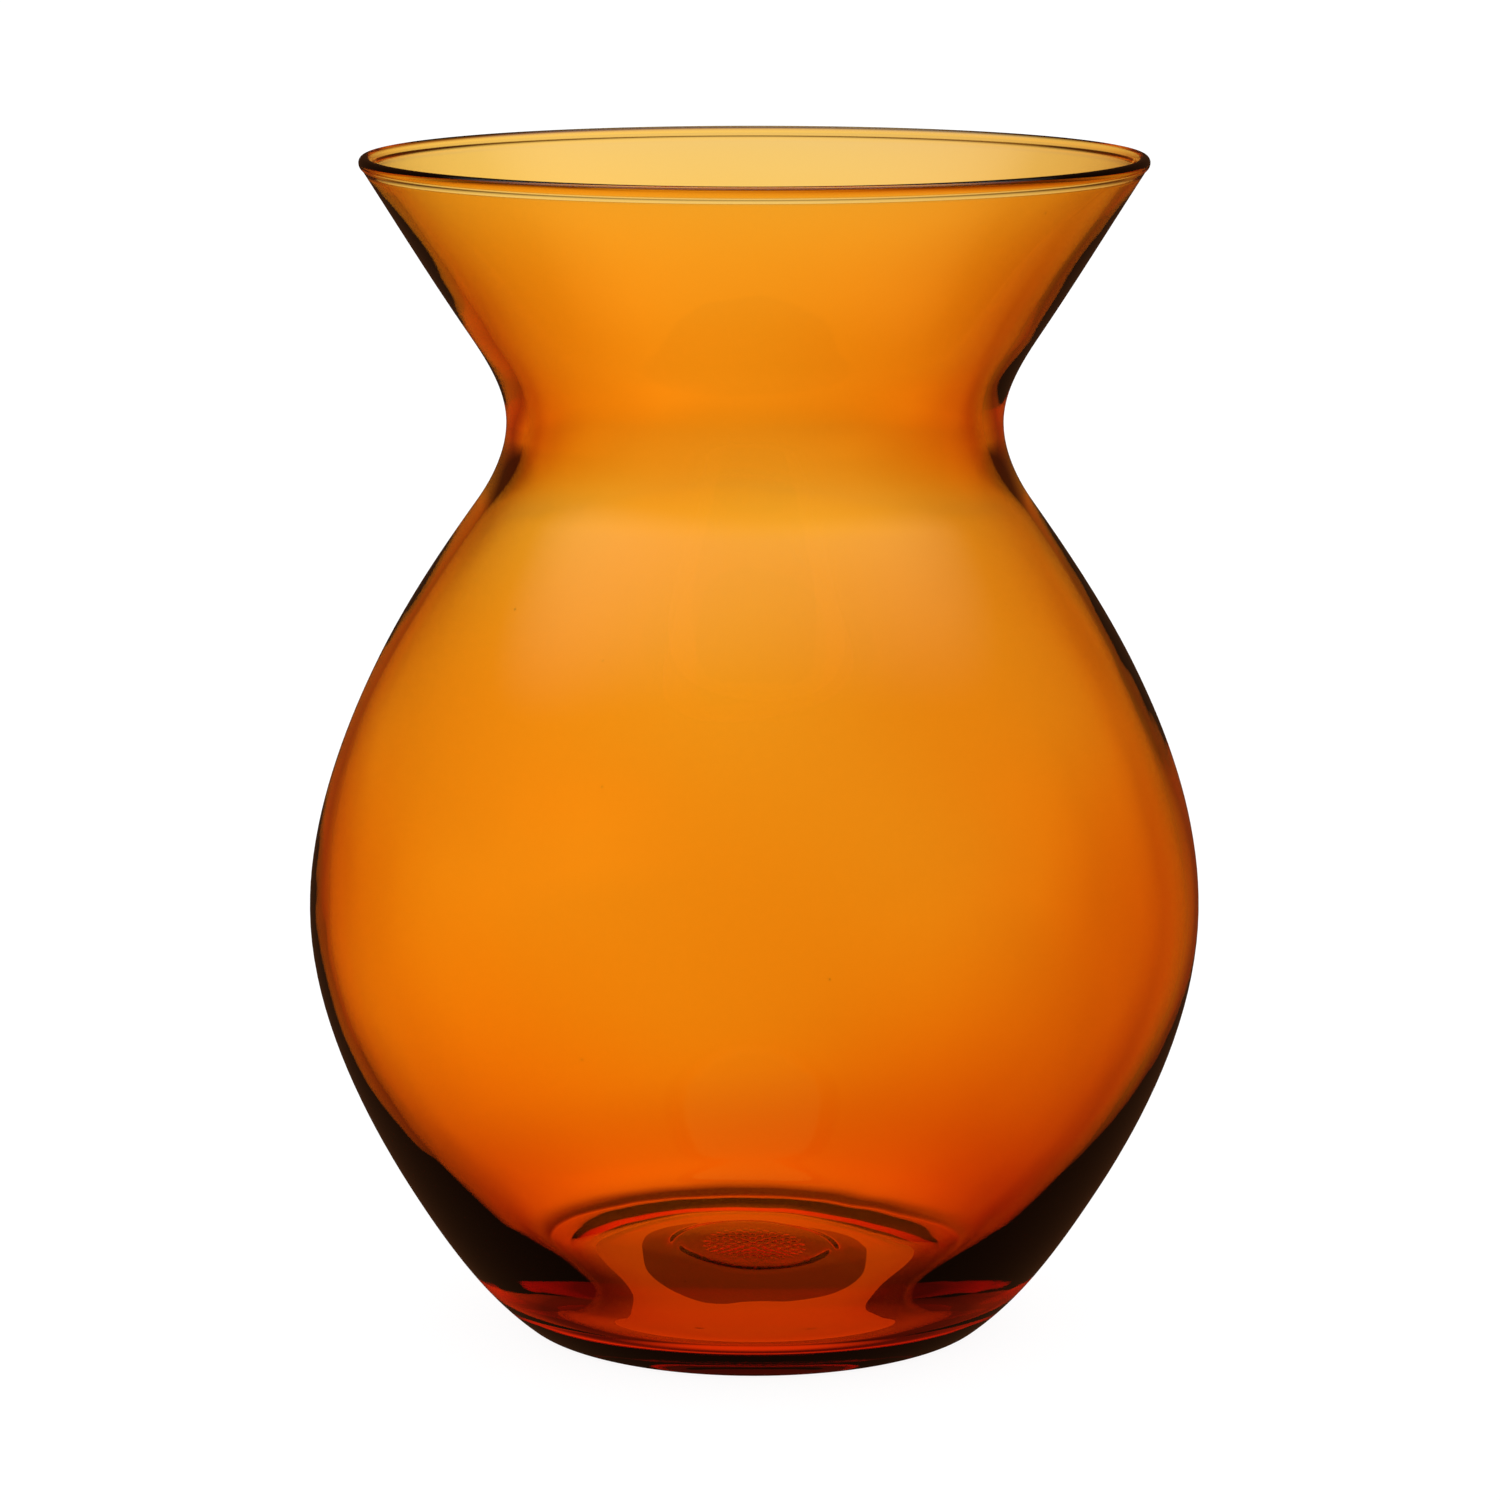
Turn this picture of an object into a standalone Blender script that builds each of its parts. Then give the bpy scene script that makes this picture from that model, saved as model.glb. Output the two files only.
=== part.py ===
"""Amber glass flower vase: thick foot, round bowl, narrow waist and flared mouth.

The vase is one piece of glass, turned about the Z axis. It stands on z = 0 with the axis at x = y = 0.
Metres, +Z up.
"""

import math
from collections import namedtuple

import bmesh
import bpy

NODE = "vase_glass"

HEIGHT = 0.216

# Stations of the outer wall, foot to lip. Lean is the wall's angle from the vertical in degrees, positive
# where it opens outwards; glass is the wall's thickness, square to its outer face; and inner_lean is the angle
# of the inner face across from the station.
Station = namedtuple("Station", "height radius lean glass inner_lean")
TOE = Station(0.010, 0.0530, 39.2, 0.0066, 41.0)
FLANK = Station(0.028, 0.0651, 31.0, 0.0046, 35.6)
BELLY = Station(0.078, 0.0820, 0.0, 0.0031, 0.0)
SHOULDER = Station(0.122, 0.0699, -26.4, 0.0025, -26.4)
NECK = Station(0.1528, 0.0507, -35.5, 0.0020, -35.5)
WAIST = Station(0.1677, 0.0451, 0.0, 0.0033, 0.0)
FLARE = Station(0.184, 0.0519, 34.0, 0.0029, 34.0)
LIP_ROOT = Station(0.2125, 0.0700, 32.0, 0.0021, 32.0)
WALL = (TOE, FLANK, BELLY, SHOULDER, NECK, WAIST, FLARE, LIP_ROOT)

# Lip: a fire-polished bead in line with the wall and a little thicker.
LIP_WIDTH = 0.0024
LIP_LENGTH = 0.0028

# Foot: the wall's lean where it leaves the rounded heel, a flat ring that the vase rests on, and a shallow dome
# pushed up inside the ring.
FOOT_RADIUS = 0.0428
FOOT_LEAN = 52.0
HEEL_ROUNDING = 0.003
RING_INNER_RADIUS = 0.0376
DOME_RISE = 0.0035

# The bowl's floor rises gently to its middle, and curves up into the wall at its edge.
FLOOR_HEIGHT = 0.0100
FLOOR_EDGE = (0.0400, 0.0075)
FLOOR_EDGE_LEAN = 80.0

# Facets.
SEGMENTS = 64
WALL_STEPS = 4
FLOOR_STEPS = 6
HEEL_STEPS = 3
LIP_STEPS = 8
DOME_STEPS = 4

GLASS_COLOUR = (0.86, 0.33, 0.012, 1.0)
GLASS_ROUGHNESS = 0.02
GLASS_IOR = 1.52


def direction(lean):
    """The unit step (radius, height) along a wall that leans this many degrees outwards."""
    angle = math.radians(lean)
    return math.sin(angle), math.cos(angle)


def flow(start, start_lean, end, end_lean, steps):
    """Points (radius, height) on a smooth curve from start to end, leaving out its first point."""
    length = math.dist(start, end)
    start_way = direction(start_lean)
    end_way = direction(end_lean)
    points = []
    for step in range(1, steps + 1):
        t = step / steps
        from_start = 2 * t**3 - 3 * t**2 + 1
        from_end = 3 * t**2 - 2 * t**3
        along_start = (t**3 - 2 * t**2 + t) * length
        along_end = (t**3 - t**2) * length
        points.append(
            tuple(
                from_start * start[i] + along_start * start_way[i] + from_end * end[i] + along_end * end_way[i]
                for i in (0, 1)
            )
        )
    return points


def inner_point(station):
    """The point on the inner face that lies square across the glass from an outer station."""
    out, up = direction(station.lean)
    return station.radius - station.glass * up, station.height + station.glass * out


def heel():
    """The flat ring's outer edge, and the round corner from it up to the wall."""
    turn = 90.0 - FOOT_LEAN
    trim = HEEL_ROUNDING * math.tan(math.radians(turn / 2))
    centre = FOOT_RADIUS - trim
    points = []
    for step in range(HEEL_STEPS + 1):
        angle = math.radians(turn * step / HEEL_STEPS)
        points.append(
            (centre + HEEL_ROUNDING * math.sin(angle), HEEL_ROUNDING * (1 - math.cos(angle)))
        )
    return points


def outer_wall(start):
    """The outer face from the heel's top to the last station under the lip."""
    points = []
    lean = FOOT_LEAN
    for station in WALL:
        points += flow(start, lean, (station.radius, station.height), station.lean, WALL_STEPS)
        start, lean = points[-1], station.lean
    return points


def lip():
    """The bead, from its join with the outer face, over the top, to its join with the inner face."""
    out, up = direction(LIP_ROOT.lean)
    half_width = LIP_WIDTH / 2
    half_length = LIP_LENGTH / 2
    height = HEIGHT - math.hypot(half_width * out, half_length * up)
    middle_radius = LIP_ROOT.radius - LIP_ROOT.glass / 2 * up
    middle_height = LIP_ROOT.height + LIP_ROOT.glass / 2 * out
    radius = middle_radius + (height - middle_height) * out / up
    join = math.acos(LIP_ROOT.glass / LIP_WIDTH)
    points = []
    for step in range(LIP_STEPS + 1):
        angle = -join + (math.pi + 2 * join) * step / LIP_STEPS
        across = half_width * math.cos(angle)
        along = half_length * math.sin(angle)
        points.append((radius + across * up + along * out, height - across * out + along * up))
    return points


def inner_wall(start):
    """The inner face from under the lip down to the toe."""
    points = [start]
    for upper, lower in zip(WALL[:0:-1], WALL[-2::-1]):
        start_lean = upper.inner_lean + 180
        end_lean = lower.inner_lean + 180
        points += flow(points[-1], start_lean, inner_point(lower), end_lean, WALL_STEPS)
    return points[1:]


def floor(start):
    """The inside of the bowl from the toe's inner face, round the floor's edge and in to the axis."""
    points = flow(start, TOE.inner_lean + 180, FLOOR_EDGE, FLOOR_EDGE_LEAN + 180, WALL_STEPS)
    return points + flow(points[-1], FLOOR_EDGE_LEAN + 180, (0.0, FLOOR_HEIGHT), -90.0, FLOOR_STEPS)


def dome():
    """The underside's shallow dome, from the axis out to the resting ring."""
    curve = (RING_INNER_RADIUS**2 + DOME_RISE**2) / (2 * DOME_RISE)
    edge = math.asin(RING_INNER_RADIUS / curve)
    points = []
    for step in range(DOME_STEPS + 1):
        angle = edge * step / DOME_STEPS
        points.append((curve * math.sin(angle), DOME_RISE - curve * (1 - math.cos(angle))))
    return points


def profile():
    """The whole outline, from the dome's top round the outside and back down to the floor's centre."""
    points = dome() + heel()
    points += outer_wall(points[-1])
    points += lip()
    points += inner_wall(points[-1])
    points += floor(points[-1])
    return points


def turn_profile(name, points):
    """A closed mesh of revolution. The first and the last point lie on the axis."""
    mesh_data = bmesh.new()
    rings = []
    for radius, height in points[1:-1]:
        ring = []
        for segment in range(SEGMENTS):
            angle = 2 * math.pi * segment / SEGMENTS
            ring.append(mesh_data.verts.new((radius * math.cos(angle), radius * math.sin(angle), height)))
        rings.append(ring)
    bottom = mesh_data.verts.new((0.0, 0.0, points[0][1]))
    top = mesh_data.verts.new((0.0, 0.0, points[-1][1]))
    for segment in range(SEGMENTS):
        following = (segment + 1) % SEGMENTS
        mesh_data.faces.new((bottom, rings[0][following], rings[0][segment]))
        for lower, upper in zip(rings, rings[1:]):
            mesh_data.faces.new((lower[segment], lower[following], upper[following], upper[segment]))
        mesh_data.faces.new((rings[-1][segment], rings[-1][following], top))
    mesh = bpy.data.meshes.new(name)
    mesh_data.to_mesh(mesh)
    mesh_data.free()
    return mesh


def glass_material():
    material = bpy.data.materials.new("amber_glass")
    material.use_nodes = True
    shader = material.node_tree.nodes["Principled BSDF"]
    shader.inputs["Base Color"].default_value = GLASS_COLOUR
    shader.inputs["Roughness"].default_value = GLASS_ROUGHNESS
    shader.inputs["Metallic"].default_value = 0.0
    shader.inputs["IOR"].default_value = GLASS_IOR
    shader.inputs["Transmission Weight"].default_value = 1.0
    return material


def vase():
    mesh = turn_profile(NODE, profile())
    mesh.shade_smooth()
    mesh.set_sharp_from_angle(angle=math.radians(40))
    mesh.materials.append(glass_material())
    body = bpy.data.objects.new(NODE, mesh)
    bpy.context.scene.collection.objects.link(body)


def main():
    for existing in list(bpy.data.objects):
        bpy.data.objects.remove(existing)
    vase()


main()
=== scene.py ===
"""Amber glass flower vase: fine glass body, amber glass material, pale studio and camera."""

import math
from collections import namedtuple

import bpy
import numpy as np
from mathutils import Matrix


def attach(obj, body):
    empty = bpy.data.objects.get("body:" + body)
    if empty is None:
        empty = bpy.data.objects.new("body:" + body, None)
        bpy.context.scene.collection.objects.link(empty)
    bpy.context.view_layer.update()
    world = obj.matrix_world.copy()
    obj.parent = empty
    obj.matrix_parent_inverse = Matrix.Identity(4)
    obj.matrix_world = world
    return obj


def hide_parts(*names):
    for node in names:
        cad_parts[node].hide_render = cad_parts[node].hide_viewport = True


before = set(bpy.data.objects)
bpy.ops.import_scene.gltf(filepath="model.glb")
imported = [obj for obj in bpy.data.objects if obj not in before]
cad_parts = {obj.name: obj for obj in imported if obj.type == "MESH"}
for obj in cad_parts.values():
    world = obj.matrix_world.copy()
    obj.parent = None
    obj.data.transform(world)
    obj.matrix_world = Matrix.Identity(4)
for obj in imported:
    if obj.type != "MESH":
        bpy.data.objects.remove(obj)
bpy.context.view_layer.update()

# Outline of the glass, metres. Stations run up the outer wall. Lean is the wall's angle from the vertical
# in degrees, positive where it opens outwards; glass is the wall's thickness, square to its outer face;
# and inner_lean is the angle of the inner face across from the station.
HEIGHT = 0.216
Station = namedtuple("Station", "height radius lean glass inner_lean")
FOOT_RADIUS = 0.0428
FOOT_LEAN = 52.0
WALL = (
    Station(0.010, 0.0530, 39.2, 0.0066, 41.0),
    Station(0.028, 0.0651, 31.0, 0.0046, 35.6),
    Station(0.078, 0.0820, 0.0, 0.0031, 0.0),
    Station(0.122, 0.0699, -26.4, 0.0025, -26.4),
    Station(0.1528, 0.0507, -35.5, 0.0020, -35.5),
    Station(0.1677, 0.0451, 0.0, 0.0033, 0.0),
    Station(0.184, 0.0519, 34.0, 0.0029, 34.0),
    Station(0.2125, 0.0700, 32.0, 0.0021, 32.0),
)
# Lip: a fire-polished bead in line with the wall and a little thicker.
LIP_WIDTH = 0.0024
LIP_LENGTH = 0.0028
HEEL_ROUNDING = 0.003
RING_INNER_RADIUS = 0.0376
DOME_RISE = 0.0035
# The bowl's floor rises gently to its middle, and curves up into the wall at its edge.
FLOOR_HEIGHT = 0.0100
FLOOR_EDGE = (0.0400, 0.0075)
FLOOR_EDGE_LEAN = 80.0

# Facets.
SEGMENTS = 192
WALL_STEPS = 18
FLOOR_STEPS = 36
HEEL_STEPS = 8
LIP_STEPS = 20
DOME_STEPS = 80

# Marks of the mould in the underside's middle: a field of small dimples, and a shallow groove round it.
DIMPLE_PITCH = 0.0024
DIMPLE_DEPTH = 0.00015
DIMPLE_FIELD = 0.0095
GROOVE_RADIUS = 0.0145
GROOVE_WIDTH = 0.0012
GROOVE_DEPTH = 0.0003

# Unevenness of the glass: how far each face strays from round, and the height above which it sets in. Each
# wave has its share of that, its number of crests round the vase, and its twist in radians per metre. The
# drift is how far the waves' phase moves, in radians, along the outline.
WAVE_DEPTH = 0.00012
WAVE_START = 0.015
BROAD_WAVE = (1.0, 2, 40.0)
FINE_WAVE = (0.6, 5, -90.0)
WAVE_DRIFT = 4.0

GLASS_IOR = 1.52
ABSORPTION_DENSITY = 900.0
ABSORPTION_COLOUR = (0.991, 0.778, 0.056, 1.0)
# Fine surface: roughness at its most and the part of the noise that it follows, the ripples' scale and
# height, and the scale, edges and paleness of the seeds (tiny bubbles), which show as specks.
ROUGHNESS = 0.02
SMUDGE_LIMITS = (0.4, 0.7)
RIPPLE_SCALE = 70.0
RIPPLE_HEIGHT = 0.00003
SEED_SCALE = 45.0
SEED_LIMITS = (0.005, 0.012)
SEED_PALENESS = 0.2

# Camera, metres and degrees. The lens is for a 36 mm wide sensor.
CAMERA_DISTANCE = 1.0
CAMERA_HEIGHT = 0.2933
CAMERA_PITCH = 10.57
CAMERA_LENS = 132.76
CAMERA_SHIFT = -0.00304

# Studio: upright panels of light by azimuth (0 is +Y, 90 is +X) and strength, the brightest behind the
# vase. The glass shows them where it is looked through, and doesn't mirror them.
PANELS = ((-2.5, 1.0), (-45.0, 0.8), (-90.0, 0.8), (38.0, 0.5), (135.0, 0.8))
# A panel's light by the degrees from its middle: it fades outwards, and warms as it fades.
PANEL_LIGHT = (
    (0.0, (1.04, 1.04, 1.04)),
    (3.0, (0.99, 0.99, 0.99)),
    (5.0, (0.94, 0.91, 0.9)),
    (8.0, (0.87, 0.76, 0.7)),
    (11.0, (0.8, 0.61, 0.5)),
    (15.0, (0.65, 0.43, 0.3)),
    (20.0, (0.48, 0.27, 0.15)),
    (28.0, (0.2, 0.09, 0.04)),
    (45.0, (0.06, 0.025, 0.012)),
    (180.0, (0.03, 0.012, 0.006)),
)
# A panel's brightness by elevation, a little cooler near the horizon. Below the slant's top the panels
# lean to the left.
PANEL_RISE = (
    (-90.0, (0.02, 0.02, 0.02)),
    (-60.0, (0.04, 0.04, 0.04)),
    (-40.0, (0.1, 0.1, 0.1)),
    (-30.0, (0.48, 0.48, 0.48)),
    (-24.0, (0.85, 0.85, 0.85)),
    (-17.0, (1.0, 1.0, 1.0)),
    (-9.5, (1.0, 1.0, 1.0)),
    (-7.8, (1.02, 1.02, 1.02)),
    (-5.1, (0.94, 0.94, 0.94)),
    (-4.2, (0.89, 0.91, 1.1)),
    (5.0, (0.94, 0.95, 1.0)),
    (14.0, (0.05, 0.05, 0.05)),
    (90.0, (0.0, 0.0, 0.0)),
)
PANEL_SLANT = 0.28
SLANT_TOP = -8.0
# The light from straight below, by elevation: the pale floor as it shows through the glass from above.
BELOW = (
    (-90.0, (0.85, 0.85, 0.85)),
    (-68.0, (0.65, 0.65, 0.65)),
    (-50.0, (0.0, 0.0, 0.0)),
    (90.0, (0.0, 0.0, 0.0)),
)
# The room's own dim, warm light, from everywhere.
AMBIENT = (0.055, 0.02, 0.008)
# A soft round light overhead, also mirrored in the glass: its brightness, and in slopes (x/z and -y/z) its
# middle, its half-widths, and the shares of them between which it fades out.
CEILING = 1.05
CEILING_MIDDLE = (-0.1, -0.1)
CEILING_HALF = (1.5, 0.9)
CEILING_FADE = (0.25, 1.15)
# Brightness of the white that the camera and the floor see.
PALE = 1.1
# The floor's side, and its paleness and own glow: in the open, in the round sheet of painted shade under
# the foot, and in the darker sheet of painted shade under the foot's middle, with its half-sides and how
# round it is (1 is an ellipse, 0 a rectangle). The sheets lie a hair apart, the floor lowest.
FLOOR_SIDE = 30.0
FLOOR_GAP = 0.0001
FLOOR = (0.15, 0.92)
PAINTED_SHADE_RING = (0.3, 0.6)
SHADE_RING_RADIUS = 0.032
SHADE_OUTLINE_POINTS = 96
PAINTED_SHADE_MIDDLE = (0.2, 0.15)
SHADE_MIDDLE_HALF = (0.0215, 0.021)
SHADE_MIDDLE_ROUNDNESS = 0.5


def direction(lean):
    """The unit step (radius, height) along a wall that leans this many degrees outwards."""
    angle = math.radians(lean)
    return math.sin(angle), math.cos(angle)


def flow(start, start_lean, end, end_lean, steps):
    """Points (radius, height) on a smooth curve from start to end, leaving out its first point."""
    length = math.dist(start, end)
    start_way = direction(start_lean)
    end_way = direction(end_lean)
    points = []
    for step in range(1, steps + 1):
        t = step / steps
        from_start = 2 * t**3 - 3 * t**2 + 1
        from_end = 3 * t**2 - 2 * t**3
        along_start = (t**3 - 2 * t**2 + t) * length
        along_end = (t**3 - t**2) * length
        point = []
        for a, a_way, b, b_way in zip(start, start_way, end, end_way):
            point.append(from_start * a + along_start * a_way + from_end * b + along_end * b_way)
        points.append(tuple(point))
    return points


def inner_point(station):
    """The point on the inner face that lies square across the glass from an outer station."""
    out, up = direction(station.lean)
    return station.radius - station.glass * up, station.height + station.glass * out


def dome():
    """The underside's shallow dome, from the axis out to the resting ring."""
    curve = (RING_INNER_RADIUS**2 + DOME_RISE**2) / (2 * DOME_RISE)
    edge = math.asin(RING_INNER_RADIUS / curve)
    points = []
    for step in range(DOME_STEPS + 1):
        angle = edge * step / DOME_STEPS
        points.append((curve * math.sin(angle), DOME_RISE - curve * (1 - math.cos(angle))))
    return points


def heel():
    """The flat ring's outer edge, and the round corner from it up to the wall."""
    turn = math.radians(90.0 - FOOT_LEAN)
    centre = FOOT_RADIUS - HEEL_ROUNDING * math.tan(turn / 2)
    points = []
    for step in range(HEEL_STEPS + 1):
        angle = turn * step / HEEL_STEPS
        points.append((centre + HEEL_ROUNDING * math.sin(angle), HEEL_ROUNDING * (1 - math.cos(angle))))
    return points


def outer_wall(start):
    """The outer face from the heel's top to the last station under the lip."""
    points = []
    lean = FOOT_LEAN
    for station in WALL:
        points += flow(start, lean, (station.radius, station.height), station.lean, WALL_STEPS)
        start, lean = points[-1], station.lean
    return points


def lip():
    """The bead, from its join with the outer face, over the top, to its join with the inner face."""
    root = WALL[-1]
    out, up = direction(root.lean)
    half_width, half_length = LIP_WIDTH / 2, LIP_LENGTH / 2
    height = HEIGHT - math.hypot(half_width * out, half_length * up)
    middle_radius = root.radius - root.glass / 2 * up
    middle_height = root.height + root.glass / 2 * out
    radius = middle_radius + (height - middle_height) * out / up
    join = math.acos(root.glass / LIP_WIDTH)
    points = []
    for step in range(LIP_STEPS + 1):
        angle = -join + (math.pi + 2 * join) * step / LIP_STEPS
        across = half_width * math.cos(angle)
        along = half_length * math.sin(angle)
        points.append((radius + across * up + along * out, height - across * out + along * up))
    return points


def inner_wall(start):
    """The inner face from under the lip down to the lowest station."""
    points = [start]
    for upper, lower in zip(WALL[:0:-1], WALL[-2::-1]):
        start_lean, end_lean = upper.inner_lean + 180, lower.inner_lean + 180
        points += flow(points[-1], start_lean, inner_point(lower), end_lean, WALL_STEPS)
    return points[1:]


def bowl_floor(start):
    """The inside of the bowl, from the lowest station round the floor's edge to its centre."""
    points = flow(start, WALL[0].inner_lean + 180, FLOOR_EDGE, FLOOR_EDGE_LEAN + 180, WALL_STEPS)
    return points + flow(points[-1], FLOOR_EDGE_LEAN + 180, (0.0, FLOOR_HEIGHT), -90.0, FLOOR_STEPS)


def profile():
    """The whole outline, from the dome's top round the outside and back down to the floor's centre."""
    points = dome() + heel()
    points += outer_wall(points[-1])
    points += lip()
    points += inner_wall(points[-1])
    points += bowl_floor(points[-1])
    return points


def mould_marks(x, y):
    """How far the mould's marks are pressed up into the underside at each place."""
    radius = np.hypot(x, y)
    lattice = np.cos(2 * np.pi * x / DIMPLE_PITCH) * np.cos(2 * np.pi * y / DIMPLE_PITCH)
    field = np.clip((DIMPLE_FIELD - radius) / DIMPLE_PITCH, 0.0, 1.0)
    groove = np.exp(-(((radius - GROOVE_RADIUS) / GROOVE_WIDTH) ** 2))
    return DIMPLE_DEPTH * np.maximum(lattice, 0.0) * field + GROOVE_DEPTH * groove


def unevenness(height, angle, phase):
    """How far each place strays outwards from round. The phase sets where the crests lie."""
    growth = np.clip(height / WAVE_START - 1.0, 0.0, 1.0)
    total = 0.0
    for (share, crests, twist), sign in ((BROAD_WAVE, 1), (FINE_WAVE, -1)):
        total = total + share * np.sin(crests * angle + twist * height + sign * phase)
    return WAVE_DEPTH * growth * total


def turn_profile(name, points):
    """A closed, smooth mesh, turned about the axis, where the first and the last point lie."""
    outline = np.array(points)
    radius = outline[1:-1, 0][:, None]
    height = outline[1:-1, 1][:, None]
    angle = np.arange(SEGMENTS) * 2 * np.pi / SEGMENTS
    rows = len(radius)
    phase = np.linspace(0.0, WAVE_DRIFT, rows)[:, None]
    radius = radius + unevenness(height, angle, phase)
    x, y = radius * np.cos(angle), radius * np.sin(angle)
    z = np.repeat(height, SEGMENTS, axis=1)
    z[:DOME_STEPS] += mould_marks(x[:DOME_STEPS], y[:DOME_STEPS])
    grid = np.stack([x, y, z], axis=-1).reshape(-1, 3)
    poles = [(0.0, 0.0, outline[0, 1] + mould_marks(0.0, 0.0)), (0.0, 0.0, outline[-1, 1])]
    bottom, top = rows * SEGMENTS, rows * SEGMENTS + 1
    faces = []
    for segment in range(SEGMENTS):
        following = (segment + 1) % SEGMENTS
        faces.append((bottom, following, segment))
        for row in range(rows - 1):
            lower, upper = row * SEGMENTS, (row + 1) * SEGMENTS
            faces.append((lower + segment, lower + following, upper + following, upper + segment))
        faces.append(((rows - 1) * SEGMENTS + segment, (rows - 1) * SEGMENTS + following, top))
    mesh = bpy.data.meshes.new(name)
    mesh.from_pydata(grid.tolist() + poles, [], faces)
    mesh.shade_smooth()
    body = bpy.data.objects.new(name, mesh)
    bpy.context.scene.collection.objects.link(body)
    return body


def glass_material():
    """Clear glass whose depth gives it its amber colour, with ripples, faint smudges and a few seeds."""
    material = bpy.data.materials.new("amber_glass")
    material.use_nodes = True
    nodes = material.node_tree.nodes
    links = material.node_tree.links
    shader = nodes["Principled BSDF"]
    shader.inputs["IOR"].default_value = GLASS_IOR
    shader.inputs["Transmission Weight"].default_value = 1.0
    place = nodes.new("ShaderNodeTexCoord").outputs["Object"]

    ripples = nodes.new("ShaderNodeTexNoise")
    ripples.inputs["Scale"].default_value = RIPPLE_SCALE
    ripples.inputs["Detail"].default_value = 1.0
    links.new(place, ripples.inputs["Vector"])
    bump = nodes.new("ShaderNodeBump")
    bump.inputs["Distance"].default_value = RIPPLE_HEIGHT
    links.new(ripples.outputs["Fac"], bump.inputs["Height"])
    links.new(bump.outputs["Normal"], shader.inputs["Normal"])

    smudges = nodes.new("ShaderNodeMapRange")
    smudges.inputs["From Min"].default_value, smudges.inputs["From Max"].default_value = SMUDGE_LIMITS
    smudges.inputs["To Max"].default_value = ROUGHNESS
    links.new(ripples.outputs["Fac"], smudges.inputs["Value"])
    links.new(smudges.outputs["Result"], shader.inputs["Roughness"])

    seeds = nodes.new("ShaderNodeTexVoronoi")
    seeds.inputs["Scale"].default_value = SEED_SCALE
    links.new(place, seeds.inputs["Vector"])
    clear = nodes.new("ShaderNodeMapRange")
    clear.inputs["From Min"].default_value, clear.inputs["From Max"].default_value = SEED_LIMITS
    clear.inputs["To Min"].default_value = SEED_PALENESS
    links.new(seeds.outputs["Distance"], clear.inputs["Value"])
    links.new(clear.outputs["Result"], shader.inputs["Base Color"])

    absorption = nodes.new("ShaderNodeVolumeAbsorption")
    absorption.inputs["Color"].default_value = ABSORPTION_COLOUR
    absorption.inputs["Density"].default_value = ABSORPTION_DENSITY
    links.new(absorption.outputs["Volume"], nodes["Material Output"].inputs["Volume"])
    return material


def glass_body():
    """The fine glass vase, which stands in for the CAD node."""
    body = turn_profile("vase_body", profile())
    body.data.materials.append(glass_material())
    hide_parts("vase_glass")
    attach(body, "root")


def math_node(tree, operation, *values):
    """One Math node, fed by numbers or by other nodes' outputs."""
    node = tree.nodes.new("ShaderNodeMath")
    node.operation = operation
    for socket, value in zip(node.inputs, values):
        if isinstance(value, (int, float)):
            socket.default_value = value
        else:
            tree.links.new(value, socket)
    return node.outputs[0]


def colours_of(tree, angle, stops):
    """A colour that follows an angle in degrees, in straight lines between the stops."""
    low, high = stops[0][0], stops[-1][0]
    place = tree.nodes.new("ShaderNodeMapRange")
    place.inputs["From Min"].default_value = low
    place.inputs["From Max"].default_value = high
    tree.links.new(angle, place.inputs["Value"])
    ramp = tree.nodes.new("ShaderNodeValToRGB")
    elements = ramp.color_ramp.elements
    elements.remove(elements[-1])
    for number, (degrees, colour) in enumerate(stops):
        position = (degrees - low) / (high - low)
        element = elements.new(position) if number else elements[0]
        element.position = position
        element.color = (*colour, 1.0)
    tree.links.new(place.outputs["Result"], ramp.inputs["Fac"])
    return ramp.outputs["Color"]


def vector_node(tree, operation, *values):
    """One Vector Math node, fed by numbers, triples of numbers or other nodes' outputs."""
    node = tree.nodes.new("ShaderNodeVectorMath")
    node.operation = operation
    sockets = [node.inputs[0], node.inputs["Scale"] if operation == "SCALE" else node.inputs[1]]
    for socket, value in zip(sockets, values):
        if isinstance(value, (float, tuple)):
            socket.default_value = value
        else:
            tree.links.new(value, socket)
    return node.outputs[0]


def panel(tree, heading, azimuth, strength):
    """One upright panel of light, centred on an azimuth."""
    turn = math_node(tree, "WRAP", math_node(tree, "SUBTRACT", heading, azimuth), 180.0, -180.0)
    colour = colours_of(tree, math_node(tree, "ABSOLUTE", turn), PANEL_LIGHT)
    return vector_node(tree, "SCALE", colour, strength)


def ceiling(tree, parts):
    """The round light overhead, seen from below."""
    up = math_node(tree, "MAXIMUM", parts.outputs["Z"], 0.001)
    reach = None
    for way, sign, middle, half in zip("XY", (1.0, -1.0), CEILING_MIDDLE, CEILING_HALF):
        slope = math_node(tree, "DIVIDE", math_node(tree, "MULTIPLY", parts.outputs[way], sign), up)
        share = math_node(tree, "DIVIDE", math_node(tree, "SUBTRACT", slope, middle), half)
        square = math_node(tree, "MULTIPLY", share, share)
        reach = math_node(tree, "ADD", reach, square) if reach else square
    fall = tree.nodes.new("ShaderNodeMapRange")
    fall.interpolation_type = "SMOOTHSTEP"
    fall.inputs["From Min"].default_value, fall.inputs["From Max"].default_value = CEILING_FADE
    fall.inputs["To Min"].default_value = CEILING
    fall.inputs["To Max"].default_value = 0.0
    tree.links.new(math_node(tree, "SQRT", reach), fall.inputs["Value"])
    above = math_node(tree, "GREATER_THAN", parts.outputs["Z"], 0.0)
    return math_node(tree, "MULTIPLY", fall.outputs["Result"], above)


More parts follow.
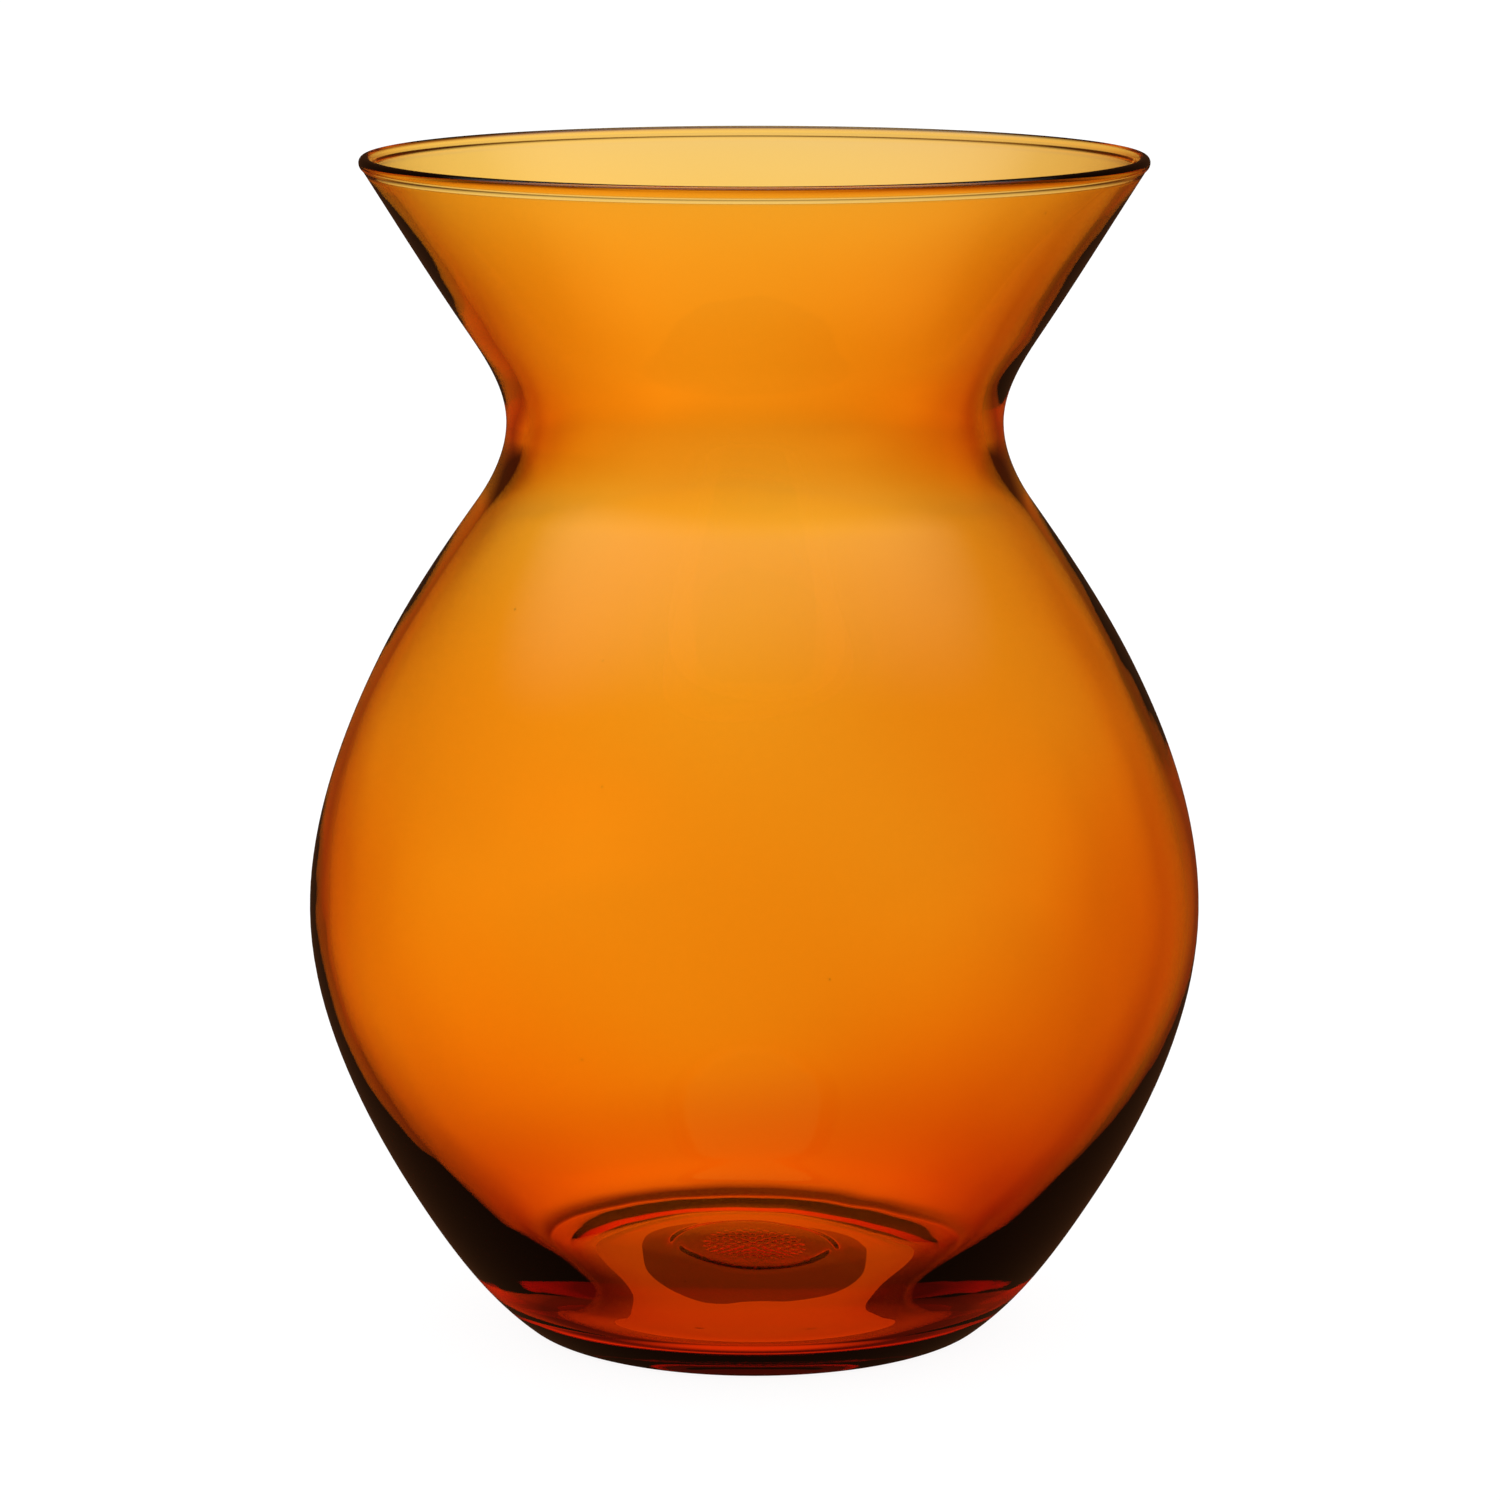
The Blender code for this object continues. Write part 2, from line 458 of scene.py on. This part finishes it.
def studio():
    """A world that is pale to the camera and the floor, and shows the glass soft panels and a ceiling."""
    world = bpy.data.worlds.new("studio")
    world.use_nodes = True
    world.cycles.sampling_method = "NONE"
    bpy.context.scene.world = world
    tree = world.node_tree
    coordinates = tree.nodes.new("ShaderNodeTexCoord")
    parts = tree.nodes.new("ShaderNodeSeparateXYZ")
    tree.links.new(coordinates.outputs["Generated"], parts.inputs[0])
    turn = math_node(tree, "ARCTAN2", parts.outputs["X"], parts.outputs["Y"])
    heading = math_node(tree, "DEGREES", turn)
    elevation = math_node(tree, "DEGREES", math_node(tree, "ARCSINE", parts.outputs["Z"]))
    below = math_node(tree, "MINIMUM", math_node(tree, "SUBTRACT", elevation, SLANT_TOP), 0.0)
    slanted = math_node(tree, "SUBTRACT", heading, math_node(tree, "MULTIPLY", below, PANEL_SLANT))
    path = tree.nodes.new("ShaderNodeLightPath")
    panels = (0.0, 0.0, 0.0)
    for azimuth, strength in PANELS:
        panels = vector_node(tree, "MAXIMUM", panel(tree, slanted, azimuth, strength), panels)
    panels = vector_node(tree, "MULTIPLY", panels, colours_of(tree, elevation, PANEL_RISE))
    through = vector_node(tree, "ADD", panels, colours_of(tree, elevation, BELOW))
    through = vector_node(tree, "SCALE", through, path.outputs["Is Transmission Ray"])
    light = vector_node(tree, "ADD", vector_node(tree, "ADD", through, ceiling(tree, parts)), AMBIENT)
    structured = tree.nodes["Background"]
    tree.links.new(light, structured.inputs["Color"])
    plain = tree.nodes.new("ShaderNodeBackground")
    plain.inputs["Color"].default_value = (1.0, 1.0, 1.0, 1.0)
    plain.inputs["Strength"].default_value = PALE
    mix = tree.nodes.new("ShaderNodeMixShader")
    direct = math_node(tree, "MAXIMUM", path.outputs["Is Camera Ray"], path.outputs["Is Diffuse Ray"])
    tree.links.new(direct, mix.inputs["Fac"])
    tree.links.new(structured.outputs["Background"], mix.inputs[1])
    tree.links.new(plain.outputs["Background"], mix.inputs[2])
    tree.links.new(mix.outputs["Shader"], tree.nodes["World Output"].inputs["Surface"])


def floor_material(name, level, glow):
    """A matt grey surface, brightened by a white glow of its own."""
    material = bpy.data.materials.new(name)
    material.use_nodes = True
    shader = material.node_tree.nodes["Principled BSDF"]
    shader.inputs["Base Color"].default_value = (level, level, level, 1.0)
    shader.inputs["Emission Color"].default_value = (1.0, 1.0, 1.0, 1.0)
    shader.inputs["Emission Strength"].default_value = glow
    shader.inputs["Roughness"].default_value = 0.9
    shader.inputs["Specular IOR Level"].default_value = 0.0
    return material


def floor_sheet(name, corners, height, material):
    """A flat, level sheet that the vase stands on."""
    mesh = bpy.data.meshes.new(name)
    mesh.from_pydata([(x, y, height) for x, y in corners], [], [tuple(range(len(corners)))])
    mesh.materials.append(material)
    sheet = bpy.data.objects.new(name, mesh)
    bpy.context.scene.collection.objects.link(sheet)
    return sheet


def squared(part):
    """One coordinate of a circle's point, moved out to make the circle a rounded square."""
    return math.copysign(abs(part) ** SHADE_MIDDLE_ROUNDNESS, part)


def floor():
    """The pale floor, and the sheets of painted shade under the foot, which are all of the floor that the
    glass shows.
    """
    half = FLOOR_SIDE / 2
    corners = [(-half, -half), (half, -half), (half, half), (-half, half)]
    sheet = floor_sheet("floor", corners, -4 * FLOOR_GAP, floor_material("pale_floor", *FLOOR))
    sheet.visible_transmission = False
    sheet.visible_glossy = False
    across, along = SHADE_MIDDLE_HALF
    shade_ring = []
    middle = []
    for step in range(SHADE_OUTLINE_POINTS):
        angle = 2 * math.pi * step / SHADE_OUTLINE_POINTS
        x, y = math.cos(angle), math.sin(angle)
        shade_ring.append((SHADE_RING_RADIUS * x, SHADE_RING_RADIUS * y))
        middle.append((across * squared(x), along * squared(y)))
    # Painted shade: a dimmer round sheet under the foot, seen through the glass as the shade beneath the
    # base.
    floor_sheet("painted_shade_ring", shade_ring, -3 * FLOOR_GAP, floor_material("painted_shade_ring", *PAINTED_SHADE_RING))
    # Painted shade: a darker rounded-square sheet under the foot's middle, where the base looks darkest.
    floor_sheet("painted_shade_middle", middle, -2 * FLOOR_GAP, floor_material("painted_shade_middle", *PAINTED_SHADE_MIDDLE))


def camera():
    """The camera, in front of the vase and a little above it, looking slightly down."""
    data = bpy.data.cameras.new("camera")
    data.sensor_width = 36.0
    data.lens = CAMERA_LENS
    data.shift_x = CAMERA_SHIFT
    data.clip_start = 0.01
    data.clip_end = 100.0
    viewer = bpy.data.objects.new("camera", data)
    viewer.location = (0.0, -CAMERA_DISTANCE, CAMERA_HEIGHT)
    viewer.rotation_euler = (math.radians(90.0 - CAMERA_PITCH), 0.0, 0.0)
    bpy.context.scene.collection.objects.link(viewer)
    bpy.context.scene.camera = viewer


glass_body()
studio()
floor()
camera()
bpy.context.scene.view_settings.view_transform = "Standard"
